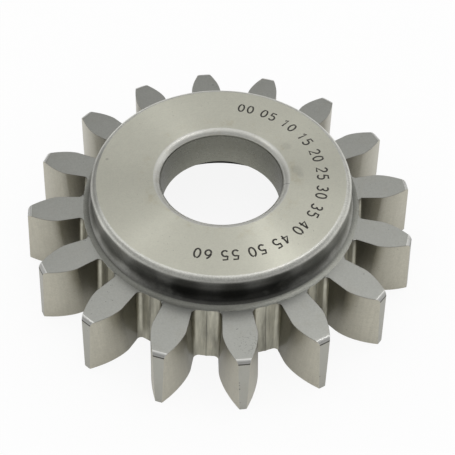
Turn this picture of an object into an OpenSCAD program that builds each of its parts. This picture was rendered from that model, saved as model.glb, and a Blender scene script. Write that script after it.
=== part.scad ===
// Disc gear-shaper cutter with a raised hub and a cupped underside.
// It is one solid of ground tool steel, turned about Z. The cutting tips lie at height 0.
// A tooth points straight to the front, along minus Y, and the flat hub top is the highest face.

/* [Teeth] */
// Number of teeth round the cutter
tooth_count = 16; // [16:1:20]
// Tooth size as a module: pitch diameter divided by the number of teeth
tooth_module = 8; // [7.9:0.05:9]
// Pressure angle of the involute flanks in degrees
pressure_deg = 20; // [18:0.5:22]
// Outward profile shift at the cutting tips, in modules
front_shift = 0.058; // [0:0.002:0.12]
// Tooth height above and below the pitch circle, in modules
tooth_reach = 1.25; // [1.15:0.01:1.3]
// Clearance angle of the tip lands and roots, seen from the side
relief_deg = 6.95; // [4:0.05:8]
// Height of the teeth from the cutting tips to their flat backs
tooth_width = 25.7; // [22:0.1:28]
// Angle of the hollow-ground cutting face under the teeth
rake_deg = 5; // [2:0.25:7]
// Diameter inside which the cutting face is relieved
face_in_d = 96; // [92:0.5:97]
// Depth of that relief
face_relief_h = 0.5; // [0.2:0.1:1]
// Radius where the back of each tip is rounded over
tip_round_r = 1.4; // [0.6:0.1:2.4]
// Radius in the corner between a flank and the root
root_fillet_r = 1.9; // [0.8:0.1:2.6]
// Height of the faint ridge left where two grinding passes meet in the root
root_ridge_h = 0.12; // [0.02:0.01:0.3]

/* [Hub] */
// Overall height from the cutting tips to the flat hub top
total_h = 37.8; // [35:0.1:44]
// Diameter of the polished hub wall
hub_d = 95; // [90:0.5:96]
// Radius over the hub's top rim
rim_round_r = 2.2; // [1:0.1:4]
// Radius of the inner hollow at the foot of the hub wall
foot_hollow_r = 1.6; // [1:0.1:2]
// Height of the fine edge between the two foot hollows, above the tooth backs
foot_edge_h = 0.45; // [0.3:0.05:0.7]
// Width of the outer hollow, which runs out towards the roots
foot_ring_w = 2.1; // [1.5:0.1:2.5]

/* [Bore] */
// Diameter of the ground locating bore
bore_d = 44.443; // [38:0.001:48]
// Radius of the wide rounding where the bore opens in the hub top
mouth_round_r = 5.1; // [3:0.1:6]
// Radius of the small rounding that leads from there into the bore
mouth_blend_r = 1.5; // [0.6:0.1:2]
// Thickness of the web that the bore runs through
web_t = 16; // [12:0.1:20]
// Width of the bevel at the lower end of the bore
bore_bevel_w = 0.4; // [0.2:0.1:1]

/* [Cup] */
// Diameter of the cup under the web, where the clamping nut sits
cup_d = 80; // [64:0.5:84]
// Radius in the top corner of the cup
cup_fillet_r = 2; // [0.5:0.1:4]
// Width of the bevel at the lower rim of the cup
cup_bevel_w = 0.6; // [0.2:0.1:1.5]

/* [Hidden] */

// Number that marks a circle as a true circle
round_fn = 96;
// Steps along one involute flank and along one root fillet
flank_steps = 12;
fillet_steps = 4;
// How far the hub's section reaches into the toothed rim, so that they are one solid
core_lap = 1.5;
// Fine step left where the outer foot hollow runs out, above the backs of the teeth
foot_step_h = 0.05;
// Direction in which the bore's wide rounding passes into its small one, from the centres of both
mouth_dir = [-0.6, 0.8];

pitch_r = tooth_module * tooth_count / 2;
base_r = pitch_r * cos(pressure_deg);
hub_r = hub_d / 2;
bore_r = bore_d / 2;
cup_r = cup_d / 2;
face_in_r = face_in_d / 2;
web_under_z = total_h - web_t;

// Involute function of an angle in degrees, as a result in degrees
function involute_deg(a) = tan(a) * 180 / PI - a;

// Profile shift in modules at a height
function shift_at(z) = front_shift - z * tan(relief_deg) / tooth_module;

// Radius of the tip lands and of the roots at a height
function tip_r(z) = pitch_r + tooth_module * (tooth_reach + shift_at(z));
function root_r(z) = pitch_r - tooth_module * (tooth_reach - shift_at(z));

// Half the angle of a tooth at radius r, in degrees
function half_tooth_deg(r, z) =
    90 / tooth_count
    + 2 * shift_at(z) * tan(pressure_deg) * 180 / PI / tooth_count
    + involute_deg(pressure_deg)
    - (r > base_r ? involute_deg(acos(base_r / r)) : 0);

function polar(r, a) = [r * cos(a), r * sin(a)];

// Height of the hollow-ground cutting face at radius r
function face_z(r) = (tip_r(0) - r) * tan(rake_deg);

// The toothed rim is drawn on four levels: the cutting face, two on the tip rounding, and the backs
last_level = 3;
level_heights = [
    0,
    tooth_width - tip_round_r,
    tooth_width - tip_round_r * (1 - sin(45)),
    tooth_width
];
level_tips = [
    tip_r(0),
    tip_r(level_heights[1]),
    tip_r(level_heights[2]) - tip_round_r * (1 - cos(45)),
    tip_r(tooth_width) - tip_round_r
];

// Height of a point at radius r on a level
function level_z(level, r) = level == 0 ? face_z(r) : level_heights[level];

// Adds the height of its level to a flat point
function lifted(p, level) = [p[0], p[1], level_z(level, norm(p))];

// Radius after step i along a flank, from the tip down to the base circle
function roll_end(level) = sqrt(pow(level_tips[level] / base_r, 2) - 1);
function flank_r(i, level) = base_r * sqrt(1 + pow(roll_end(level) * (1 - i / flank_steps), 2));

function flank_point(i, level) =
    let (r = flank_r(i, level))
    polar(r, half_tooth_deg(r, level_z(level, r)));

// Angle between a flank's foot and the middle of its root fillet
function fillet_turn(z) = asin(root_fillet_r / (root_r(z) + root_fillet_r));

// Point j of the fillet, which starts square to the flank and ends pointing at the axis
function fillet_point(j, z) =
    let (
        foot_deg = half_tooth_deg(base_r, z),
        turn_deg = fillet_turn(z),
        mid = polar(root_r(z) + root_fillet_r, foot_deg + turn_deg)
    )
    mid + polar(root_fillet_r, foot_deg - 90 + (turn_deg - 90) * j / fillet_steps);

// Point on the root between the fillet and the faint ridge in the middle of the gap
function root_point(z) =
    let (fillet_end_deg = half_tooth_deg(base_r, z) + fillet_turn(z))
    polar(root_r(z), fillet_end_deg + (180 / tooth_count - fillet_end_deg) * 2 / 3);

// One side of a tooth, from its tip corner down its flank and along half of the root
function tooth_side(level) =
    let (root_z = level_z(level, root_r(0)))
    concat(
        [for (i = [0 : flank_steps]) flank_point(i, level)],
        [for (j = [0 : fillet_steps]) fillet_point(j, root_z)],
        [root_point(root_z)]
    );
side_count = flank_steps + fillet_steps + 3;
// Places on a tooth's side where its fillet starts and ends
fillet_from = flank_steps + 1;
fillet_to = fillet_from + fillet_steps;
tooth_points = 2 * side_count + 2;

function mirrored(p) = [p[0], -p[1]];
function turned(p, a) = [p[0] * cos(a) - p[1] * sin(a), p[0] * sin(a) + p[1] * cos(a)];

// A whole tooth that points along X, from the ridge before it round to the root after it
function tooth_outline(level) =
    let (
        side = tooth_side(level),
        ridge_r = root_r(level_z(level, root_r(0))) + root_ridge_h
    )
    concat(
        [polar(ridge_r, -180 / tooth_count)],
        [for (i = [side_count - 1 : -1 : 0]) mirrored(side[i])],
        [[level_tips[level], 0]],
        side
    );

// Angle that tooth k points along; the first tooth points to the front
function tooth_deg(k) = k * 360 / tooth_count - 90;

// Numbers of the rim's points, where i is a place on the outline of tooth k
level_points = tooth_count * tooth_points;
function at(level, k, i) = level * level_points + (k * tooth_points + i) % level_points;
function minus_at(level, k, i) = at(level, k, side_count - i);
function plus_at(level, k, i) = at(level, k, side_count + 2 + i);
// Numbers of the inner points: the gap before tooth k, then the middle of tooth k
function inner_at(top, k, i) =
    (last_level + 1) * level_points + top * 2 * tooth_count + (2 * k + i) % (2 * tooth_count);

// Faces that close one end of the rim at tooth k, clockwise seen from above
function end_faces(level, top, k) = concat(
    [[minus_at(level, k, 0), plus_at(level, k, 0), at(level, k, side_count + 1)]],
    [for (i = [0 : flank_steps]) [
        minus_at(level, k, i), minus_at(level, k, i + 1), plus_at(level, k, i + 1)
    ]],
    [for (i = [0 : flank_steps]) [
        minus_at(level, k, i), plus_at(level, k, i + 1), plus_at(level, k, i)
    ]],
    [[minus_at(level, k, fillet_from), inner_at(top, k, 1), plus_at(level, k, fillet_from)]],
    [for (i = [fillet_from : fillet_to - 1]) [
        plus_at(level, k, i), inner_at(top, k, 1), plus_at(level, k, i + 1)
    ]],
    [for (i = [fillet_from : fillet_to - 1]) [
        minus_at(level, k, i), minus_at(level, k, i + 1), inner_at(top, k, 1)
    ]],
    [[inner_at(top, k, 1), inner_at(top, k, 2), plus_at(level, k, fillet_to)]],
    [[inner_at(top, k, 1), minus_at(level, k, fillet_to), inner_at(top, k, 0)]],
    [for (i = [fillet_to : side_count - 1]) [
        plus_at(level, k, i), inner_at(top, k, 2), plus_at(level, k, i + 1)
    ]],
    [for (i = [fillet_to : side_count - 1]) [
        minus_at(level, k, i), minus_at(level, k, i + 1), inner_at(top, k, 0)
    ]]
);

function reversed(face) = [face[2], face[1], face[0]];

// The rim with all its teeth, as a ring whose flanks are ruled from level to level
module toothed_rim() {
    polyhedron(
        points = concat(
            [for (level = [0 : last_level], k = [0 : tooth_count - 1], p = tooth_outline(level))
                lifted(turned(p, tooth_deg(k)), level)],
            [for (top = [0, 1], k = [0 : 2 * tooth_count - 1])
                lifted(polar(face_in_r, (k - 1) * 180 / tooth_count - 90), top * last_level)]
        ),
        faces = concat(
            [for (level = [0 : last_level - 1], k = [0 : tooth_count - 1], i = [0 : tooth_points - 1])
                [at(level, k, i), at(level + 1, k, i), at(level + 1, k, i + 1)]],
            [for (level = [0 : last_level - 1], k = [0 : tooth_count - 1], i = [0 : tooth_points - 1])
                [at(level, k, i), at(level + 1, k, i + 1), at(level, k, i + 1)]],
            [for (k = [0 : tooth_count - 1], face = end_faces(last_level, 1, k)) face],
            [for (k = [0 : tooth_count - 1], face = end_faces(0, 0, k)) reversed(face)],
            [for (k = [0 : tooth_count - 1], i = [0, 1])
                [inner_at(0, k, i), inner_at(0, k, i + 1), inner_at(1, k, i + 1)]],
            [for (k = [0 : tooth_count - 1], i = [0, 1])
                [inner_at(0, k, i), inner_at(1, k, i + 1), inner_at(1, k, i)]]
        ),
        convexity = 12
    );
}

// A slice of a circle between two directions, used to round a corner of the section
module slice_2d(mid, r, from_dir, to_dir) {
    reach = 1.6 * r;
    intersection() {
        translate(mid) circle(r = r, $fn = round_fn);
        polygon([
            mid,
            mid + reach * from_dir,
            mid + reach * (from_dir + to_dir),
            mid + reach * to_dir
        ]);
    }
}

// Directions in the hub's section
outwards = [1, 0];
upwards = [0, 1];

// Corner points of the hub's section that the roundings share
rim_mid = [hub_r - rim_round_r, total_h - rim_round_r];
mouth_wide_mid = [
    bore_r + mouth_blend_r * (1 + mouth_dir[0]) - mouth_round_r * mouth_dir[0],
    total_h - mouth_round_r
];
mouth_blend_mid = [
    bore_r + mouth_blend_r,
    total_h - mouth_round_r + (mouth_round_r - mouth_blend_r) * mouth_dir[1]
];
foot_edge = [hub_r + foot_hollow_r, tooth_width + foot_edge_h];
foot_mid = foot_edge + [0, foot_hollow_r];
// The outer foot hollow runs out a fine step above the backs of the teeth
foot_end = [foot_edge[0] + foot_ring_w, tooth_width + foot_step_h];
foot_ring_h = foot_edge[1] - foot_end[1];
foot_ring_r = (pow(foot_ring_w, 2) + pow(foot_ring_h, 2)) / 2 / foot_ring_h;
foot_ring_mid = foot_end + [0, foot_ring_r];
cup_mid = [cup_r - cup_fillet_r, web_under_z - cup_fillet_r];

// Half section of the hub and cup: X is the distance from the axis, Y the height
module hub_section() {
    difference() {
        union() {
            polygon([
                [cup_r + cup_bevel_w, face_z(cup_r + cup_bevel_w) + face_relief_h],
                [face_in_r + core_lap, face_z(face_in_r + core_lap) + face_relief_h],
                [face_in_r + core_lap, tooth_width / 2],
                [foot_end[0], tooth_width - core_lap],
                foot_end,
                foot_edge,
                [hub_r, foot_mid[1]],
                [hub_r, rim_mid[1]],
                [rim_mid[0], total_h],
                [mouth_wide_mid[0], total_h],
                mouth_wide_mid + mouth_round_r * mouth_dir,
                [bore_r, mouth_blend_mid[1]],
                [bore_r, web_under_z + bore_bevel_w],
                [bore_r + bore_bevel_w, web_under_z],
                [cup_mid[0], web_under_z],
                [cup_r, cup_mid[1]],
                [cup_r, face_z(cup_r) + face_relief_h + cup_bevel_w]
            ]);
            slice_2d(rim_mid, rim_round_r, outwards, upwards);
            slice_2d(mouth_wide_mid, mouth_round_r, upwards, mouth_dir);
            slice_2d(mouth_blend_mid, mouth_blend_r, mouth_dir, -outwards);
        }
        slice_2d(foot_mid, foot_hollow_r, -outwards, -upwards);
        slice_2d(foot_ring_mid, foot_ring_r, (foot_edge - foot_ring_mid) / foot_ring_r, -upwards);
        slice_2d(cup_mid, cup_fillet_r, outwards, upwards);
    }
}

// The whole cutter: the toothed rim and the turned hub are one piece of steel
module shaper_cutter() {
    color([0.66, 0.66, 0.63])
    union() {
        rotate_extrude(convexity = 8, $fn = round_fn) hub_section();
        toothed_rim();
    }
}

shaper_cutter();
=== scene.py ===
import math

import bmesh
import bpy
from mathutils import Matrix, Vector


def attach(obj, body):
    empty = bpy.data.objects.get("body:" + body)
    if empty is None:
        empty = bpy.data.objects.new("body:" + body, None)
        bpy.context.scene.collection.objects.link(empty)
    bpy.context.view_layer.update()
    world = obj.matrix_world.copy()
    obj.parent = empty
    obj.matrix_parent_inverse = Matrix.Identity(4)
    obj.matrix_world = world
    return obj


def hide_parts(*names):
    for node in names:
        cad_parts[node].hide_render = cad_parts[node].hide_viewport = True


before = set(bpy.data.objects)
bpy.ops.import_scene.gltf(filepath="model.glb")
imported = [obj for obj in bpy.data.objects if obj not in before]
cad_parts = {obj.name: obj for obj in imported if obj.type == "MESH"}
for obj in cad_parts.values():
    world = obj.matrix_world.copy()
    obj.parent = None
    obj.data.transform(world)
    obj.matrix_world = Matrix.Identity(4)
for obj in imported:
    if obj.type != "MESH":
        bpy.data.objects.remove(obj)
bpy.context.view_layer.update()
mm = 0.001

# Lengths are in millimetres and angles in degrees until a mesh is made
cutterSizes = {
    "teeth": 16,
    "module": 8.0,
    "pressureAngle": 20.0,
    "frontShift": 0.058,
    "reach": 1.25,
    "relief": 6.95,
    "toothWidth": 25.7,
    "rake": 5.0,
    "tipRound": 1.4,
    "rootFillet": 1.9,
    "rootRidge": 0.12,
    "faceInR": 48.0,
    "faceRelief": 0.5,
    "height": 37.8,
    "hubR": 47.5,
    "rimRound": 2.2,
    "footHollow": 1.6,
    "footTurn": 50.0,
    "footEdge": 0.45,
    "footRing": 2.1,
    "footStep": 0.05,
    "boreR": 22.2215,
    "mouthRound": 2.8,
    "mouthBlend": 1.6,
    "mouthTurn": 60.0,
    "webUnder": 21.8,
    "boreBevel": 0.4,
    "cupR": 39.2,
    "cupFillet": 2.0,
    "markRoom": 0.02,
    "edgeBevel": 0.12,
    "wornFrom": 40.0,
    "wornNearRoot": 0.4,
    "nearRoot": (-0.05, 0.2),
    "nearBack": 0.5,
    "sharpFrom": 28.0,
    "ringWeld": 0.002,
    "pointWeld": 0.001,
}

# How finely each part of the cutter is divided
cutterSteps = {
    "flank": 20,
    "fillet": 6,
    "body": 10,
    "rounding": 5,
    "land": 8,
    "ring": 16,
    "footRing": 5,
    "flare": 8,
    "rim": 12,
    "mouth": 8,
    "lip": 6,
    "cup": 6,
    "tipPasses": 3,
}

# Rows on the straight parts, as shares of the length: those near an end keep the arc's shading
straightShares = {
    "wall": (0.04, 0.35, 0.7, 0.97, 1),
    "hubTop": (0.012, 0.25, 0.5, 0.75, 0.988, 1),
    "bore": (0.03, 0.35, 0.7, 1),
    "web": (0.3, 0.97, 1),
    "cupWall": (0.03, 0.5, 1),
}

# Zones of the steel, in the order of their numbers on the mesh
zoneNames = [
    "hubTop", "polishedWall", "footRing", "toothBack", "flank", "tipLand", "tipLine",
    "tipRounding", "root", "mouth", "lip", "bore", "cuttingFace", "cup",
]
zoneOf = {name: number for number, name in enumerate(zoneNames)}


def involute(angle):
    return math.tan(math.radians(angle)) * 180 / math.pi - angle


def polar(radius, angle, height=0.0):
    turn = math.radians(angle)
    return Vector((radius * math.cos(turn), radius * math.sin(turn), height))


def blendOf(first, last, share):
    return first + (last - first) * share


def addObject(name, data):
    made = bpy.data.objects.new(name, data)
    bpy.context.scene.collection.objects.link(made)
    return made


def plainCopy(source, name):
    # A plain mesh object of what the source's modifiers make
    bpy.context.view_layer.update()
    shown = source.evaluated_get(bpy.context.evaluated_depsgraph_get())
    return addObject(name, bpy.data.meshes.new_from_object(shown))


class ToothForm:
    # The rules of a tapered involute tooth that points along X
    def __init__(self, sizes):
        self.s = sizes
        self.pitchR = sizes["module"] * sizes["teeth"] / 2
        self.baseR = self.pitchR * math.cos(math.radians(sizes["pressureAngle"]))
        self.gapAngle = 180 / sizes["teeth"]

    def shiftAt(self, z):
        s = self.s
        return s["frontShift"] - z * math.tan(math.radians(s["relief"])) / s["module"]

    def tipR(self, z):
        return self.pitchR + self.s["module"] * (self.s["reach"] + self.shiftAt(z))

    def rootR(self, z):
        return self.pitchR - self.s["module"] * (self.s["reach"] - self.shiftAt(z))

    def halfAngle(self, radius, z):
        s = self.s
        pressure = math.radians(s["pressureAngle"])
        widening = 2 * self.shiftAt(z) * math.tan(pressure) * 180 / math.pi / s["teeth"]
        half = 90 / s["teeth"] + widening + involute(s["pressureAngle"])
        if radius > self.baseR:
            half -= involute(math.degrees(math.acos(self.baseR / radius)))
        return half

    def faceZ(self, radius):
        return (self.tipR(0) - radius) * math.tan(math.radians(self.s["rake"]))

    def flankSide(self, tip, heightAt):
        # From the tip corner down the involute to the base circle
        rollEnd = math.sqrt((tip / self.baseR) ** 2 - 1)
        points = []
        for i in range(cutterSteps["flank"] + 1):
            roll = rollEnd * (1 - i / cutterSteps["flank"])
            radius = self.baseR * math.sqrt(1 + roll ** 2)
            z = heightAt(radius)
            points.append((polar(radius, self.halfAngle(radius, z), z), "flank"))
        return points

    def rootSide(self, heightAt):
        # Round the fillet and along half of the root to the fine ridge in the middle of the gap
        fillet = self.s["rootFillet"]
        rootZ = heightAt(self.rootR(0))
        rootR = self.rootR(rootZ)
        footAngle = self.halfAngle(self.baseR, rootZ)
        turn = math.degrees(math.asin(fillet / (rootR + fillet)))
        middle = polar(rootR + fillet, footAngle + turn)
        points = []
        for i in range(1, cutterSteps["fillet"] + 1):
            bend = footAngle - 90 + (turn - 90) * i / cutterSteps["fillet"]
            point = middle + polar(fillet, bend)
            point.z = heightAt(point.length)
            points.append((point, "root"))
        for share in (1 / 3, 2 / 3):
            angle = blendOf(footAngle + turn, self.gapAngle, share)
            points.append((polar(rootR, angle, heightAt(rootR)), "root"))
        ridgeR = rootR + self.s["rootRidge"]
        points.append((polar(ridgeR, self.gapAngle, heightAt(ridgeR)), "root"))
        return points

    def outline(self, tip, heightAt):
        # The whole tooth, from the middle of the gap before it to the middle of the gap after it
        plus = self.flankSide(tip, heightAt) + self.rootSide(heightAt)
        minus = [(Vector((p.x, -p.y, p.z)), zone) for p, zone in reversed(plus)]
        half = self.halfAngle(tip, heightAt(tip))
        steps = cutterSteps["land"]
        land = [
            (polar(tip, half * (2 * i / steps - 1), heightAt(tip)), "tipLand")
            for i in range(1, steps)
        ]
        return minus + land + plus


def levelsOf(form):
    # Tip radius and height rule of each level, from the cutting face up to the back
    s = form.s
    foot = s["toothWidth"] - s["tipRound"]
    levels = []
    for step in range(cutterSteps["body"] + 1):
        share = step / cutterSteps["body"]

        def heightAt(radius, share=share):
            return blendOf(form.faceZ(radius), foot, share)

        tip = form.tipR(0)
        for _ in range(cutterSteps["tipPasses"]):
            tip = form.tipR(heightAt(tip))
        levels.append((tip, heightAt))
    for step in range(1, cutterSteps["rounding"] + 1):
        bend = math.radians(90 * step / cutterSteps["rounding"])
        height = s["toothWidth"] - s["tipRound"] * (1 - math.sin(bend))
        tip = form.tipR(height) - s["tipRound"] * (1 - math.cos(bend))
        levels.append((tip, lambda radius, height=height: height))
    return levels


# Rows of the turned section are radius, height and the zone of the strip that leads to them
def arcRows(centre, radius, fromAngle, toAngle, steps, zone):
    rows = []
    for step in range(1, steps + 1):
        bend = math.radians(blendOf(fromAngle, toAngle, step / steps))
        place = (centre[0] + radius * math.cos(bend), centre[1] + radius * math.sin(bend))
        rows.append((*place, zone))
    return rows


def straightRows(start, end, part, zone):
    return [
        (blendOf(start[0], end[0], share), blendOf(start[1], end[1], share), zone)
        for share in straightShares[part]
    ]


def footRows(s):
    # The back's end, the foot ring's shallow hollow and the flare up into the hub wall
    edgeR, edgeZ = s["hubR"] + s["footHollow"], s["toothWidth"] + s["footEdge"]
    startR, startZ = edgeR + s["footRing"], s["toothWidth"] + s["footStep"]
    across, rise = startR - edgeR, edgeZ - startZ
    hollowR = (across ** 2 + rise ** 2) / 2 / rise
    hollowEnd = 270 - math.degrees(math.asin(across / hollowR))
    rows = [(startR, s["toothWidth"], "toothBack"), (startR, startZ, "footRing")]
    rows += arcRows((startR, startZ + hollowR), hollowR, 270, hollowEnd,
                    cutterSteps["footRing"], "footRing")
    flareR = s["footHollow"] / (1 - math.cos(math.radians(s["footTurn"])))
    flareZ = edgeZ + flareR * math.sin(math.radians(s["footTurn"]))
    rows += arcRows((s["hubR"] + flareR, flareZ), flareR, 180 + s["footTurn"], 180,
                    cutterSteps["flare"], "polishedWall")
    return rows


def sectionRows(form):
    # The turned section from the tooth backs over the hub, down the bore and out through the cup
    s = form.s
    topZ = s["height"] - s["markRoom"]
    topR, rimZ = s["hubR"] - s["rimRound"], topZ - s["rimRound"]
    rows = footRows(s)
    rows += straightRows((s["hubR"], rows[-1][1]), (s["hubR"], rimZ), "wall", "polishedWall")
    rows += arcRows((topR, rimZ), s["rimRound"], 0, 90, cutterSteps["rim"], "polishedWall")

    lipIn = math.sin(math.radians(s["mouthTurn"]))
    lipUp = math.cos(math.radians(s["mouthTurn"]))
    lipEnd = 90 + s["mouthTurn"]
    mouthZ = topZ - s["mouthRound"]
    mouthR = s["boreR"] + s["mouthBlend"] * (1 - lipIn) + s["mouthRound"] * lipIn
    blendZ = mouthZ + (s["mouthRound"] - s["mouthBlend"]) * lipUp
    rows += straightRows((topR, topZ), (mouthR, topZ), "hubTop", "hubTop")
    rows += arcRows((mouthR, mouthZ), s["mouthRound"], 90, lipEnd, cutterSteps["mouth"], "mouth")
    rows += arcRows((s["boreR"] + s["mouthBlend"], blendZ), s["mouthBlend"], lipEnd, 180,
                    cutterSteps["lip"], "lip")

    webR, webZ = s["boreR"] + s["boreBevel"], s["webUnder"]
    rows += straightRows((s["boreR"], blendZ), (s["boreR"], webZ + s["boreBevel"]), "bore", "bore")
    rows.append((webR, webZ, "bore"))
    cupR, cupTopR, cupTopZ = s["cupR"], s["cupR"] - s["cupFillet"], webZ - s["cupFillet"]
    cupEndZ = form.faceZ(cupR) + s["faceRelief"]
    rows += straightRows((webR, webZ), (cupTopR, webZ), "web", "cup")
    rows += arcRows((cupTopR, cupTopZ), s["cupFillet"], 90, 0, cutterSteps["cup"], "cup")
    rows += straightRows((cupR, cupTopZ), (cupR, cupEndZ), "cupWall", "cup")
    faceR = s["faceInR"]
    rows.append((faceR, form.faceZ(faceR) + s["faceRelief"], "cup"))
    rows.append((faceR, form.faceZ(faceR), "cup"))
    return rows


class SectorMesh:
    # Collects points and zoned faces of one tooth's share of the cutter
    def __init__(self):
        self.points, self.faces, self.zones = [], [], []

    def add(self, point):
        self.points.append(point * mm)
        return len(self.points) - 1

    def face(self, corners, zone):
        if len(set(corners)) == len(corners):
            self.faces.append(corners)
            self.zones.append(zoneOf[zone])

    def strip(self, lower, upper, zones):
        for i, zone in enumerate(zones):
            self.face((lower[i], lower[i + 1], upper[i + 1], upper[i]), zone)

    def zip(self, outer, inner, zone):
        # Joins two rows of different length that run the same way round
        angleOf = lambda i: math.atan2(self.points[i].y, self.points[i].x)
        tie = 1e-9  # angles closer than this count as equal
        i = j = 0
        while i < len(outer) - 1 or j < len(inner) - 1:
            outerNext = angleOf(outer[i + 1]) if i < len(outer) - 1 else math.inf
            innerNext = angleOf(inner[j + 1]) if j < len(inner) - 1 else math.inf
            if outerNext < innerNext - tie:
                self.face((outer[i], outer[i + 1], inner[j]), zone)
                i += 1
            else:
                self.face((outer[i], inner[j + 1], inner[j]), zone)
                j += 1

    def toMesh(self, name):
        mesh = bpy.data.meshes.new(name)
        mesh.from_pydata([tuple(p) for p in self.points], [], self.faces)
        attribute = mesh.attributes.new("zone", "INT", "FACE")
        attribute.data.foreach_set("value", self.zones)
        mesh.polygons.foreach_set("use_smooth", [True] * len(mesh.polygons))
        mesh.update()
        return mesh


def sectorMesh(form):
    sector = SectorMesh()
    levels = levelsOf(form)
    rings = []
    for tip, heightAt in levels:
        outline = form.outline(tip, heightAt)
        rings.append([sector.add(point) for point, _ in outline])
    zones = [zone for _, zone in outline]
    count = len(zones)
    landSteps, ringSteps = cutterSteps["land"], cutterSteps["ring"]
    sideCount = (count - landSteps + 1) // 2
    # A strip on the border of flank and root belongs to the flank
    stripZones = [
        "tipLand" if sideCount - 1 <= i < count - sideCount
        else zones[i + 1] if i < sideCount - 1 else zones[i]
        for i in range(count - 1)
    ]
    # The first strip of the tip rounding is a near black painted shade line
    landZones = ["tipLand"] * cutterSteps["body"] + ["tipLine"]
    landZones += ["tipRounding"] * (cutterSteps["rounding"] - 1)
    for level, landZone in enumerate(landZones):
        names = [landZone if zone == "tipLand" else zone for zone in stripZones]
        sector.strip(rings[level], rings[level + 1], names)

    rows = sectionRows(form)
    gap = form.gapAngle
    angles = [blendOf(-gap, gap, i / ringSteps) for i in range(ringSteps + 1)]
    turned = [[sector.add(polar(radius, angle, z)) for angle in angles] for radius, z, _ in rows]
    for row in range(len(rows) - 1):
        sector.strip(turned[row], turned[row + 1], [rows[row + 1][2]] * ringSteps)

    # The tooth's back and its cutting face are filled row by row and then joined to the turned part
    tail = sideCount - cutterSteps["flank"] - 1
    for ring, (_, heightAt), target, zone in (
        (rings[-1], levels[-1], turned[0], "toothBack"),
        (rings[0], levels[0], turned[-1], "cuttingFace"),
    ):
        across = ring[sideCount - 1:count - sideCount + 1]
        for i in range(1, cutterSteps["flank"] + 1):
            first, last = ring[sideCount - 1 - i], ring[count - sideCount + i]
            radius = sector.points[last].xy.length / mm
            half = math.degrees(math.atan2(sector.points[last].y, sector.points[last].x))
            inside = [
                sector.add(polar(radius, half * (2 * k / landSteps - 1), heightAt(radius)))
                for k in range(1, landSteps)
            ]
            nextRow = [first] + inside + [last]
            sector.strip(across, nextRow, [zone] * landSteps)
            across = nextRow
        sector.zip(ring[:tail] + across + ring[count - tail:], target, zone)
    return sector.toMesh("toothSector")


class Signal:
    # A node's output that Python's operators can work on
    def __init__(self, socket):
        self.socket = socket

    def pick(self, name):
        return Signal(self.socket.node.outputs[name])

    def math(self, operation, *values):
        return Tree(self.socket.id_data).add(
            "ShaderNodeMath", {"operation": operation}, dict(enumerate((self,) + values)))

    def __add__(self, other):
        return self.math("ADD", other)

    def __radd__(self, other):
        return self.math("ADD", other)

    def __sub__(self, other):
        return self.math("SUBTRACT", other)

    def __rsub__(self, other):
        return (self * -1) + other

    def __mul__(self, other):
        return self.math("MULTIPLY", other)

    def __rmul__(self, other):
        return self.math("MULTIPLY", other)

    def __truediv__(self, other):
        return self.math("DIVIDE", other)

    def __pow__(self, other):
        return self.math("POWER", other)


class Tree:
    def __init__(self, tree):
        self.tree = tree

    def add(self, kind, settings=None, inputs=None, output=0):
        node = self.tree.nodes.new(kind)
        for name, value in (settings or {}).items():
            if name == "stops":
                ramp = node.color_ramp
                while len(ramp.elements) < len(value):
                    ramp.elements.new(0.5)
                for element, (place, colour) in zip(ramp.elements, value):
                    element.position, element.color = place, (*colour, 1)
            else:
                setattr(node, name, value)
        for name, value in (inputs or {}).items():
            if isinstance(value, Signal):
                self.tree.links.new(value.socket, node.inputs[name])
            else:
                node.inputs[name].default_value = value
        return Signal(node.outputs[output]) if node.outputs else node

    def ramp(self, value, low, high, first=0.0, last=1.0):
        return self.add("ShaderNodeMapRange", {"clamp": True}, {
            "Value": value, "From Min": low, "From Max": high, "To Min": first, "To Max": last})

    def scaled(self, vector, factor):
        return self.add("ShaderNodeVectorMath", {"operation": "SCALE"},
                        {0: vector, "Scale": factor})

    def distance(self, first, second):
        return self.add("ShaderNodeVectorMath", {"operation": "DISTANCE"},
                        {0: first, 1: second}, output="Value")


def newMaterial(name):
    material = bpy.data.materials.new(name)
    material.use_nodes = True
    material.node_tree.nodes.clear()
    return material, Tree(material.node_tree)


def repeatRound(name, sizes, materials):
    # Turns one tooth's share into the whole ring, welded and with a material for each zone
    tree = bpy.data.node_groups.new(name, "GeometryNodeTree")
    interface = tree.interface

    def socket(label, kind, side="INPUT"):
        return interface.new_socket(label, in_out=side, socket_type="NodeSocket" + kind)

    socket("Geometry", "Geometry")
    teeth = socket("Teeth", "Int")
    firstAngle = socket("First angle", "Float")
    weld = socket("Weld distance", "Float")
    socket("Geometry", "Geometry", "OUTPUT")
    t = Tree(tree)
    entry = t.add("NodeGroupInput")
    index = t.add("GeometryNodeInputIndex")
    turn = index * (2 * math.pi) / entry.pick("Teeth") + entry.pick("First angle")
    rotation = t.add("ShaderNodeCombineXYZ", {}, {"Z": turn})
    places = t.add("GeometryNodeMeshLine", {"mode": "OFFSET"},
                   {"Count": entry.pick("Teeth"), "Offset": (0, 0, 0)})
    copies = t.add("GeometryNodeInstanceOnPoints", {},
                   {"Points": places, "Instance": entry, "Rotation": rotation})
    solid = t.add("GeometryNodeRealizeInstances", {}, {"Geometry": copies})
    solid = t.add("GeometryNodeMergeByDistance", {},
                  {"Geometry": solid, "Distance": entry.pick("Weld distance")})
    zone = t.add("GeometryNodeInputNamedAttribute", {"data_type": "INT"}, {"Name": "zone"})
    for number, material in enumerate(materials):
        chosen = t.add("FunctionNodeCompare", {"data_type": "INT", "operation": "EQUAL"},
                       {2: zone, 3: number})
        solid = t.add("GeometryNodeSetMaterial", {},
                      {"Geometry": solid, "Selection": chosen, "Material": material})
    t.add("NodeGroupOutput", {}, {"Geometry": solid})
    values = {
        teeth.identifier: sizes["teeth"],
        firstAngle.identifier: math.radians(-90),
        weld.identifier: sizes["ringWeld"] * mm,
    }
    return tree, values


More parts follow.
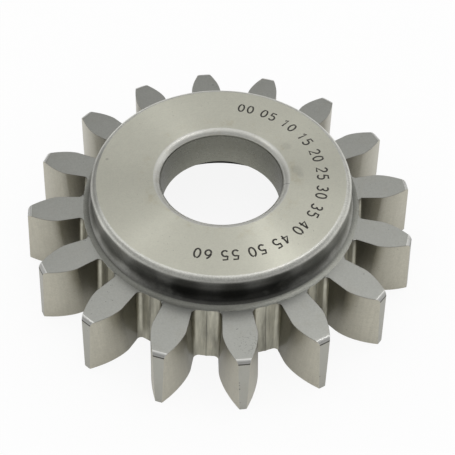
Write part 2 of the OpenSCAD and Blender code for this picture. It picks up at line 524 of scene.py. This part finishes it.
# Patterns that all the steel shares. Noises are a scale per millimetre, a detail and a roughness,
# and pairs are the ends of a ramp
steelPattern = {
    "lineRise": 1.3,
    "lineDrift": 0.3,
    "uprightDrift": 0.03,
    "lineDetail": 3.0,
    "bandScale": 0.3,
    "bandDetail": 1.0,
    "grainTurn": 0.25,
    "broad": (0.06, 3.0, 0.6),
    "blotch": (0.45, 4.0, 0.6),
    "grit": (1.7, 2.0, 0.6),
    "pits": (1.1, 1.0, 0.6),
    "pitRange": (0.72, 0.77),
    "pitGround": (0.48, 0.56),
    "pitSink": 2.0,
    "patchPits": (1.7, 1.0, 0.6),
    "patchRange": (0.57, 0.66),
    "patchCore": 0.4,
    "patchDepth": 0.7,
    "spotCore": 0.5,
    "stain": (0.16, 5.0, 0.7),
    "stainRange": (0.52, 0.68),
    "stainEnd": (-1.0, 2.0),
    "stainColor": (0.80, 0.74, 0.62),
    "midLineAside": (0.06, 0.3),
    "midLineShare": 0.55,
    "cornerAside": (3.4, 4.8),
    "cornerHeight": (22.0, 25.5),
    "scratchAside": (0.05, 0.25),
    "scratchShade": 0.4,
    # Painted shade on the hub wall and the foot ring: dark patches put into the colour
    "tarnish": (0.09, 3.0, 0.6),
    "paintedShadeUneven": 0.9,
    "paintedShadeRange": (-0.6, 0.8),
    "paintedShadeRim": (36.1, 37.4),
    "paintedShadeUpper": (31.5, 33.5),
    "paintedShadeUpperLoss": 0.16,
    "paintedShadeFoot": (26.2, 27.2),
    "paintedShadeFootShare": 0.75,
}


def steelMaterial(name, look):
    # Ground steel with fine lines that run round the axis or up the tooth, pits, stains and painted
    # shade
    p = steelPattern
    material, t = newMaterial(name)
    inMm = t.scaled(t.add("ShaderNodeTexCoord", output="Object"), 1 / mm)
    parts = t.add("ShaderNodeSeparateXYZ", {}, {0: inMm})
    x, y, z = parts, parts.pick("Y"), parts.pick("Z")
    radius = (x * x + y * y) ** 0.5
    if look["lines"] == "round":
        grain = t.add("ShaderNodeCombineXYZ", {}, {
            "X": radius + z * p["lineRise"],
            "Y": x / radius * p["lineDrift"], "Z": y / radius * p["lineDrift"]})
    else:
        grain = t.add("ShaderNodeCombineXYZ", {}, {"X": x, "Y": y, "Z": z * p["uprightDrift"]})

    def noise(vector, scale, detail, roughness):
        return t.add("ShaderNodeTexNoise", {"noise_dimensions": "3D"}, {
            "Vector": vector, "Scale": scale, "Detail": detail, "Roughness": roughness})

    def rising(value, ends, share):
        # A share of the tone below the low end and all of it above the high end
        return share + t.ramp(value, *ends) * (1 - share)

    def aroundFrom(angle):
        return y.math("ARCTAN2", x) - math.radians(angle)

    fine = noise(grain, look["lineScale"], p["lineDetail"], 0.6)
    band = noise(grain, look["lineScale"] * p["bandScale"], p["bandDetail"], 0.6)
    broad, blotch, grit = (noise(inMm, *p[part]) for part in ("broad", "blotch", "grit"))
    pits = t.ramp(noise(inMm, *p["pits"]), *p["pitRange"]) * t.ramp(broad, *p["pitGround"])
    if look["pitPatch"]:
        centre, size = look["pitPatch"]
        inPatch = 1 - t.ramp(t.distance(inMm, centre), size * p["patchCore"], size)
        patchPits = t.ramp(noise(inMm, *p["patchPits"]), *p["patchRange"])
        pits = pits + patchPits * inPatch * p["patchDepth"]
    stain = t.ramp(noise(inMm, *p["stain"]), *p["stainRange"])
    if look["stainR"]:
        stain = stain * (1 - t.ramp(radius, *(look["stainR"] + end for end in p["stainEnd"])))

    tone = 1 + (fine - 0.5) * look["lineTone"] + (broad - 0.5) * look["broadTone"]
    tone = tone + (band - 0.5) * look["bandTone"] + (grit - 0.5) * look["gritTone"]
    if look["midLine"]:
        pitch = 2 * math.pi / cutterSizes["teeth"]
        share = (aroundFrom(-90) / pitch).math("FRACT")
        aside = (share - 0.5 + look["midLine"]).math("ABSOLUTE") * radius * pitch
        tone = tone * rising(aside, p["midLineAside"], p["midLineShare"])
    tone = (tone + (blotch - 0.5) * look["blotchTone"]) * (1 - pits * look["pitTone"])
    # Painted shade: darker at the wall's foot, low on the wall, towards the roots, low on the tip
    # rounding and up the bore
    for measure, low, high, share in look["fades"]:
        tone = tone * rising({"radius": radius, "z": z}[measure], (low, high), share)
    if look["cornerShade"]:
        corner = t.ramp(aside, *p["cornerAside"]) * t.ramp(z, *p["cornerHeight"])
        tone = tone * (1 - corner * look["cornerShade"])
    # Dark marks, and the rim's wide painted shade
    for spot, size, share in look["spots"]:
        inSpot = 1 - t.ramp(t.distance(inMm, spot), size * p["spotCore"], size)
        tone = tone * (1 - inSpot * share)
    if look["scratchAt"]:
        fromScratch = aroundFrom(look["scratchAt"]).math("ABSOLUTE") * radius
        inScratch = 1 - t.ramp(fromScratch, *p["scratchAside"])
        tone = tone * (1 - inScratch * p["scratchShade"])

    plain = t.scaled(look["color"], tone)
    if look["tarnish"]:
        # Painted shade: dark patches on two opposite sides and more to one side, fading out over
        # the rim
        lobes = (aroundFrom(look["tarnishAt"]) * 2).math("COSINE")
        toSide = aroundFrom(look["shadeSideAt"]).math("COSINE").math("MAXIMUM", 0.0)
        uneven = (noise(inMm, *p["tarnish"]) - 0.5) * p["paintedShadeUneven"]
        patch = t.ramp(lobes + toSide * look["sideShare"] + uneven, *p["paintedShadeRange"])
        patch = patch * (1 - t.ramp(z, *p["paintedShadeRim"]))
        patch = patch * (1 - t.ramp(z, *p["paintedShadeUpper"]) * p["paintedShadeUpperLoss"])
        patch = patch * rising(z, p["paintedShadeFoot"], p["paintedShadeFootShare"])
        plain = t.scaled(plain, 1 - patch * look["tarnish"])
    stained = t.add("ShaderNodeVectorMath", {"operation": "MULTIPLY"},
                    {0: plain, 1: p["stainColor"]})
    color = t.add("ShaderNodeMix", {"data_type": "VECTOR"},
                  {0: stain * look["stainTone"], 4: plain, 5: stained}, output=1)
    uneven = (blotch - 0.5) * look["roughTone"] + (fine - 0.5) * look["roughTone"]
    bump = t.add("ShaderNodeBump", {}, {
        "Strength": 1.0, "Distance": look["lineDepth"] * mm, "Height": fine - pits * p["pitSink"]})
    surface = t.add("ShaderNodeBsdfPrincipled", {}, {
        "Base Color": color, "Metallic": 1.0, "Roughness": look["roughness"] + uneven,
        "Normal": bump, "Anisotropic": look["anisotropy"],
        "Anisotropic Rotation": p["grainTurn"]})
    t.add("ShaderNodeOutputMaterial", {}, {"Surface": surface})
    return material


def steelLook(color, roughness, lines, lineScale, **changes):
    look = {
        "color": color, "roughness": roughness, "lines": lines, "lineScale": lineScale,
        "lineDepth": 0.002, "lineTone": 0.06, "bandTone": 0.0, "broadTone": 0.10,
        "blotchTone": 0.08, "gritTone": 0.06, "roughTone": 0.06, "pitTone": 0.25,
        "anisotropy": 0.0, "stainTone": 0.15, "stainR": 0.0, "midLine": 0.0, "cornerShade": 0.0,
        "tarnish": 0.0, "tarnishAt": -90.0, "shadeSideAt": 165.0, "sideShare": 0.0,
        "scratchAt": 0.0, "fades": (), "spots": (), "pitPatch": (),
    }
    look.update(changes)
    return look


# Small dark marks, and a wide painted shade on the rim: centre, size and how much darker
hubSpots = (
    ((-41.1, 11.9, 37.8), 0.7, 0.22),
    ((27.6, 0.2, 37.8), 2.6, 0.12),
    ((28.6, -2.4, 37.8), 1.6, 0.12),
    ((25.8, 12.6, 37.8), 2.4, 0.10),
)
# A painted shade that dims the left of the rim's highlight
rimPaintedShade = (((-46.6, 4.1, 37.2), 21.0, 0.36),)
landSpots = (
    ((-1.47, -72.6, 15.1), 0.30, 0.6),
    ((-1.45, -72.8, 13.7), 0.28, 0.6),
    ((-1.35, -73.0, 11.7), 0.36, 0.7),
    ((26.9, -68.5, 7.2), 0.42, 0.5),
)

# Painted shade fades are what they go by, the low and high end, and the tone's share below the low
# end
steelLooks = {
    "hubTop": steelLook(
        (0.710, 0.704, 0.602), 0.37, "round", 2.2, lineDepth=0.004, anisotropy=0.85,
        gritTone=0.16, blotchTone=0.12, stainTone=0.5, stainR=29.0, spots=hubSpots),
    "polishedWall": steelLook(
        (0.720, 0.720, 0.666), 0.40, "round", 2.0, lineTone=0.25, broadTone=0.3,
        blotchTone=0.25, gritTone=0.55, tarnish=0.95, tarnishAt=-89.0, sideShare=0.6,
        fades=(("z", 34.6, 37.0, 0.58),), spots=rimPaintedShade),
    "footRing": steelLook(
        (0.480, 0.484, 0.436), 0.42, "round", 2.0, blotchTone=0.25, gritTone=0.5,
        tarnish=0.5, tarnishAt=-155.0, fades=(("radius", 49.3, 51.2, 0.62),)),
    "toothBack": steelLook(
        (0.436, 0.440, 0.409), 0.38, "round", 2.5, pitTone=0.45, gritTone=0.26,
        pitPatch=((2.2, -64.4, 25.7), 6.5)),
    "flank": steelLook(
        (0.480, 0.461, 0.386), 0.34, "upright", 1.3, lineDepth=0.004, lineTone=0.2,
        blotchTone=0.2, gritTone=0.3, stainTone=0.06,
        fades=(("radius", 54.5, 63.0, 0.52), ("radius", 61.0, 70.0, 0.77))),
    "tipLand": steelLook(
        (0.396, 0.393, 0.354), 0.38, "upright", 1.6, lineDepth=0.004, pitTone=0.6,
        spots=landSpots),
    # Painted shade: a near black strip low on the tip rounding
    "tipLine": steelLook((0.060, 0.057, 0.048), 0.50, "round", 2.0),
    # Painted highlight: the tip rounding is coloured much lighter than the land for its bright band
    "tipRounding": steelLook(
        (0.740, 0.740, 0.710), 0.38, "round", 2.0,
        fades=(("z", 24.7, 25.0, 0.4), ("z", 25.1, 25.5, 0.6))),
    "root": steelLook(
        (0.448, 0.436, 0.362), 0.34, "upright", 0.9, lineDepth=0.03, lineTone=1.1,
        bandTone=1.2, midLine=0.006, stainTone=0.06, cornerShade=0.6),
    "mouth": steelLook(
        (0.735, 0.733, 0.680), 0.38, "round", 2.0, anisotropy=0.6, stainTone=0.3,
        blotchTone=0.12, gritTone=0.2, scratchAt=-15.0),
    # Painted shade: the blend into the bore is coloured darker than the mouth, for the dark ring
    # where they meet
    "lip": steelLook((0.420, 0.420, 0.365), 0.30, "round", 2.0),
    "bore": steelLook(
        (0.298, 0.298, 0.255), 0.28, "round", 1.6, broadTone=0.3, blotchTone=0.05,
        pitTone=0.08, gritTone=0.02, fades=(("z", 23.0, 31.0, 1.22),)),
    "cuttingFace": steelLook((0.560, 0.560, 0.530), 0.30, "round", 2.5),
    # Painted shade: the cup is coloured near black for the shade inside the recess
    "cup": steelLook(
        (0.036, 0.034, 0.030), 0.50, "round", 1.2, lineDepth=0.006, lineTone=0.12),
}


def markWornEdges(shape, form):
    # A fine worn edge, but none at the foot of the hub and a narrower one where the roots come near
    s = form.s
    weight = shape.edges.layers.float.new("bevel_weight_edge")
    wornFrom = math.radians(s["wornFrom"])
    backZ = s["toothWidth"] - s["nearBack"]
    innerR, outerR = (form.rootR(s["toothWidth"]) + aside for aside in s["nearRoot"])
    for edge in shape.edges:
        if len(edge.link_faces) != 2 or edge.calc_face_angle(0) < wornFrom:
            continue
        middle = (edge.verts[0].co + edge.verts[1].co) / 2 / mm
        radius = middle.xy.length
        if middle.z > backZ and radius < outerR:
            edge[weight] = s["wornNearRoot"] if radius > innerR else 0.0
        else:
            edge[weight] = 1.0


def makeCutter():
    form = ToothForm(cutterSizes)
    sector = addObject("toothShare", sectorMesh(form))
    materials = [steelMaterial(name + "Steel", steelLooks[name]) for name in zoneNames]
    modifier = sector.modifiers.new("roundTheAxis", "NODES")
    modifier.node_group, values = repeatRound("toothRing", cutterSizes, materials)
    for identifier, value in values.items():
        modifier[identifier] = value
    cutter = plainCopy(sector, "cutter")
    sector.modifiers.remove(modifier)
    bpy.data.objects.remove(sector)

    shape = bmesh.new()
    shape.from_mesh(cutter.data)
    bmesh.ops.remove_doubles(shape, verts=shape.verts, dist=cutterSizes["pointWeld"] * mm)
    bmesh.ops.recalc_face_normals(shape, faces=shape.faces)
    openEdges = sum(1 for edge in shape.edges if len(edge.link_faces) != 2)
    volume = shape.calc_volume() / mm ** 3
    print("cutter: faces", len(shape.faces), "open edges", openEdges, "volume", volume)
    markWornEdges(shape, form)
    shape.to_mesh(cutter.data)
    shape.free()
    cutter.data.set_sharp_from_angle(angle=math.radians(cutterSizes["sharpFrom"]))
    bevel = cutter.modifiers.new("fineEdges", "BEVEL")
    bevel.width = cutterSizes["edgeBevel"] * mm
    bevel.segments = 2
    bevel.limit_method = "WEIGHT"
    bevel.use_clamp_overlap = False
    weighted = cutter.modifiers.new("evenShading", "WEIGHTED_NORMAL")
    weighted.mode = "FACE_AREA"
    weighted.keep_sharp = True
    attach(cutter, "root")
    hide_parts("shaper_cutter")


# Lines that an engraving point would follow, in a box one high: points, or an arc as its centre,
# two radii and two angles
digitLines = {
    "0": [[(0.30, 0.50, 0.25, 0.46, 90, 440)]],
    "1": [[(0.14, 0.76), (0.36, 0.96), (0.36, 0.04)]],
    "2": [[(0.30, 0.70, 0.23, 0.26, 165, -38), (0.07, 0.04), (0.56, 0.04)]],
    "3": [[(0.28, 0.74, 0.21, 0.22, 150, -90)], [(0.28, 0.28, 0.25, 0.24, 90, -150)]],
    "4": [[(0.44, 0.04), (0.44, 0.96)], [(0.42, 0.92), (0.05, 0.31), (0.59, 0.31)]],
    "5": [[(0.53, 0.96), (0.14, 0.96), (0.09, 0.56)], [(0.29, 0.33, 0.25, 0.29, 125, -145)]],
    "6": [[(0.30, 0.32, 0.24, 0.28, 180, 530)], [(0.48, 0.34, 0.42, 0.60, 180, 108)]],
}

dialNumbers = {
    "count": 13,
    "step": 5,
    "fromAngle": 69.0,
    "toAngle": -106.0,
    "radius": 36.8,
    "digitHeight": 4.2,
    "digitMiddle": 0.3,
    "digitSpace": 0.86,
    "lineWidth": 0.66,
    "arcSteps": 24,
    "thickness": 0.03,
    "pointWeld": 0.0001,
    "color": (0.036, 0.033, 0.026),
    "tone": (0.7, 0.6),
    "roughness": (0.55, 0.1),
    "grainScale": 900.0,
    "grainDetail": 3.0,
}


def linePoints(line):
    steps = dialNumbers["arcSteps"]
    points = []
    for part in line:
        if len(part) == 2:
            points.append(part)
            continue
        cx, cy, rx, ry, first, last = part
        for i in range(steps + 1):
            bend = math.radians(blendOf(first, last, i / steps))
            points.append((cx + rx * math.cos(bend), cy + ry * math.sin(bend)))
    return points


def numberCurve(text):
    # The strokes of one number, flat on the ground with its middle at the origin's side
    n = dialNumbers
    curve = bpy.data.curves.new("dialNumber", "CURVE")
    curve.dimensions = "3D"
    curve.bevel_depth = n["lineWidth"] / 2
    curve.bevel_resolution = 1
    curve.use_fill_caps = True
    for place, digit in enumerate(text):
        for line in digitLines[digit]:
            points = linePoints(line)
            spline = curve.splines.new("POLY")
            spline.points.add(len(points) - 1)
            for point, (u, v) in zip(spline.points, points):
                across = u - n["digitMiddle"] + (place - 0.5) * n["digitSpace"]
                point.co = (across * n["digitHeight"], v * n["digitHeight"], 0, 1)
    return curve


def markMaterial():
    # The dark of an etched mark: tone and roughness are a least value and what the grain adds
    n = dialNumbers
    material, t = newMaterial("etchedMark")
    place = t.add("ShaderNodeTexCoord", output="Object")
    patch = t.add("ShaderNodeTexNoise", {}, {
        "Vector": place, "Scale": n["grainScale"], "Detail": n["grainDetail"]})
    tone, roughness = (least + patch * more for least, more in (n["tone"], n["roughness"]))
    surface = t.add("ShaderNodeBsdfPrincipled", {}, {
        "Base Color": t.scaled(n["color"], tone), "Metallic": 0.0, "Roughness": roughness})
    t.add("ShaderNodeOutputMaterial", {}, {"Surface": surface})
    return material


def makeNumbers():
    n = dialNumbers
    joined = bmesh.new()
    flatten = Matrix.Diagonal((1, 1, n["thickness"] / n["lineWidth"], 1))
    outR = n["radius"] - n["digitHeight"] / 2
    centreZ = cutterSizes["height"] - n["thickness"] / 2
    outwards = Matrix.Translation((0, outR, centreZ))
    for i in range(n["count"]):
        holder = addObject("dialNumber", numberCurve(f"{i * n['step']:02d}"))
        plain = plainCopy(holder, "dialNumberMesh")
        angle = math.radians(blendOf(n["fromAngle"], n["toAngle"], i / (n["count"] - 1)))
        place = Matrix.Rotation(angle - math.pi / 2, 4, "Z") @ outwards
        plain.data.transform(Matrix.Scale(mm, 4) @ place @ flatten)
        joined.from_mesh(plain.data)
        for item in (plain, holder):
            bpy.data.objects.remove(item)
    bmesh.ops.remove_doubles(joined, verts=joined.verts, dist=n["pointWeld"] * mm)
    bmesh.ops.recalc_face_normals(joined, faces=joined.faces)
    mesh = bpy.data.meshes.new("dialNumbers")
    joined.to_mesh(mesh)
    joined.free()
    mesh.materials.append(markMaterial())
    numbers = addObject("dialNumbers", mesh)
    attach(numbers, "root")


# Where the photo was taken from: the frame of the view is turned against the cutter's own
viewSizes = {
    "aim": (2.691, 6.772, 0.0),
    "distance": 340.3,
    "elevation": 50.237,
    "roll": 1.637,
    "turn": -7.538,
    "focalPixels": 845.6,
    "imagePixels": 455,
    "sensorWidth": 36.0,
}


def makeCamera():
    v = viewSizes
    elevation, roll = math.radians(v["elevation"]), math.radians(v["roll"])
    turn = Matrix.Rotation(math.radians(v["turn"]), 3, "Z")
    back = Vector((0, -math.cos(elevation), math.sin(elevation)))
    upright = Vector((0, math.sin(elevation), math.cos(elevation)))
    level = Vector((1, 0, 0))
    right = math.cos(roll) * level + math.sin(roll) * upright
    up = -math.sin(roll) * level + math.cos(roll) * upright
    place = Vector(v["aim"]) + v["distance"] * back
    lens = bpy.data.cameras.new("studioCamera")
    lens.sensor_width = v["sensorWidth"]
    lens.lens = v["sensorWidth"] * v["focalPixels"] / v["imagePixels"]
    lens.clip_start, lens.clip_end = 0.01, 50  # metres
    camera = addObject("studioCamera", lens)
    axes = Matrix((turn @ right, turn @ up, turn @ back)).transposed()
    camera.matrix_world = Matrix.Translation(turn @ place * mm) @ axes.to_4x4()
    bpy.context.scene.camera = camera


# The studio's own lengths are in metres
studio = {
    "floorRadius": 4.0,
    "floorSides": 96,
    "floorDrop": 0.0002,
    "floorColor": (0.90, 0.90, 0.90),
    "floorGlow": 0.90,
    "floorMirrored": 0.30,
    "plainLevel": 0.85,
    "horizonColor": (0.97, 0.97, 0.97),
    "horizonBand": (0.12, 0.26),
    "sideBlend": 0.6,
    # size, power and place
    "lamps": {
        "softKey": (1.0, 1.2, (0.05, 0.15, 1.1)),
        "sideLamp": (0.05, 0.26, (-0.425, 0.215, 0.882)),
        "frontLamp": (0.06, 0.304, (0.255, 0.265, 0.930)),
    },
}

# Brightness along the arc over the cutter: 0 is the far horizon, 0.5 overhead, 1 behind the camera
roomArc = [
    # place, left side, right side
    (0.00, 0.97, 0.97),
    (0.06, 0.90, 0.90),
    (0.10, 0.20, 0.28),
    (0.16, 0.20, 0.20),
    (0.21, 0.20, 0.25),
    (0.25, 0.20, 0.96),
    (0.29, 0.56, 1.14),
    (0.33, 0.57, 0.82),
    (0.38, 0.45, 0.48),
    (0.44, 0.36, 0.36),
    (0.50, 0.36, 0.36),
    (0.84, 0.36, 0.36),
    (0.96, 0.42, 0.42),
    (1.00, 0.75, 0.75),
]


def makeFloor():
    shape = bmesh.new()
    bmesh.ops.create_circle(
        shape, cap_ends=True, segments=studio["floorSides"], radius=studio["floorRadius"])
    mesh = bpy.data.meshes.new("floor")
    shape.to_mesh(mesh)
    shape.free()
    floor = addObject("floor", mesh)
    floor.location.z = -studio["floorDrop"]
    material, t = newMaterial("paleFloor")
    lit = t.add("ShaderNodeBsdfDiffuse", {}, {"Color": (*studio["floorColor"], 1)})
    glow = t.add("ShaderNodeEmission", {}, {"Color": (1, 1, 1, 1), "Strength": 1.0})
    path = t.add("ShaderNodeLightPath", output="Is Camera Ray")
    mirrored = path.pick("Is Glossy Ray").math("MAXIMUM", path.pick("Is Transmission Ray"))
    seen = (path * studio["floorGlow"]).math("MAXIMUM", mirrored * studio["floorMirrored"])
    surface = t.add("ShaderNodeMixShader", {}, {0: seen, 1: lit, 2: glow})
    t.add("ShaderNodeOutputMaterial", {}, {"Surface": surface})
    mesh.materials.append(material)


def makeRoom():
    world = bpy.data.worlds.new("studioRoom")
    world.use_nodes = True
    world.node_tree.nodes.clear()
    t = Tree(world.node_tree)
    look = t.add("ShaderNodeTexCoord", output="Generated")
    turned = t.add("ShaderNodeMapping", {"vector_type": "POINT"},
                   {"Vector": look, "Rotation": (0, 0, math.radians(-viewSizes["turn"]))})
    parts = t.add("ShaderNodeSeparateXYZ", {}, {0: turned})
    side, away, high = parts, parts.pick("Y"), parts.pick("Z")
    along = high.math("ARCTAN2", away) / math.pi
    leftSide, rightSide = (
        t.add("ShaderNodeValToRGB", {"stops": [(stop[0], (stop[i],) * 3) for stop in roomArc]},
              {"Fac": along})
        for i in (1, 2)
    )

    def mixed(share, first, last):
        return t.add("ShaderNodeMix", {"data_type": "RGBA"},
                     {0: share, 6: first, 7: last}, output=2)

    level = mixed(t.ramp(side, -studio["sideBlend"], studio["sideBlend"]), leftSide, rightSide)
    nearHorizon = t.ramp(high, *studio["horizonBand"], 1.0, 0.0)
    level = mixed(nearHorizon, level, (*studio["horizonColor"], 1))
    room = t.add("ShaderNodeBackground", {}, {"Color": level, "Strength": 1.0})
    plain = t.add("ShaderNodeBackground", {},
                  {"Color": (1, 1, 1, 1), "Strength": studio["plainLevel"]})
    path = t.add("ShaderNodeLightPath", output="Is Camera Ray")
    seen = path.math("MAXIMUM", path.pick("Is Glossy Ray"))
    seen = seen.math("MAXIMUM", path.pick("Is Transmission Ray"))
    back = t.add("ShaderNodeMixShader", {}, {0: seen, 1: plain, 2: room})
    t.add("ShaderNodeOutputWorld", {}, {"Surface": back})
    bpy.context.scene.world = world


def makeLamps():
    turn = Matrix.Rotation(math.radians(viewSizes["turn"]), 4, "Z")
    for name, (size, power, spot) in studio["lamps"].items():
        lamp = bpy.data.lights.new(name, "AREA")
        lamp.shape = "RECTANGLE"
        lamp.size = lamp.size_y = size
        lamp.energy = power
        place = Vector(spot)
        aim = (-place).to_track_quat("-Z", "Y").to_matrix().to_4x4()
        addObject(name, lamp).matrix_world = turn @ Matrix.Translation(place) @ aim


makeCamera()
print("camera set")
makeCutter()
print("cutter made")
makeNumbers()
print("numbers made")
makeFloor()
makeRoom()
makeLamps()
bpy.context.scene.view_settings.view_transform = "Standard"
print("studio set")
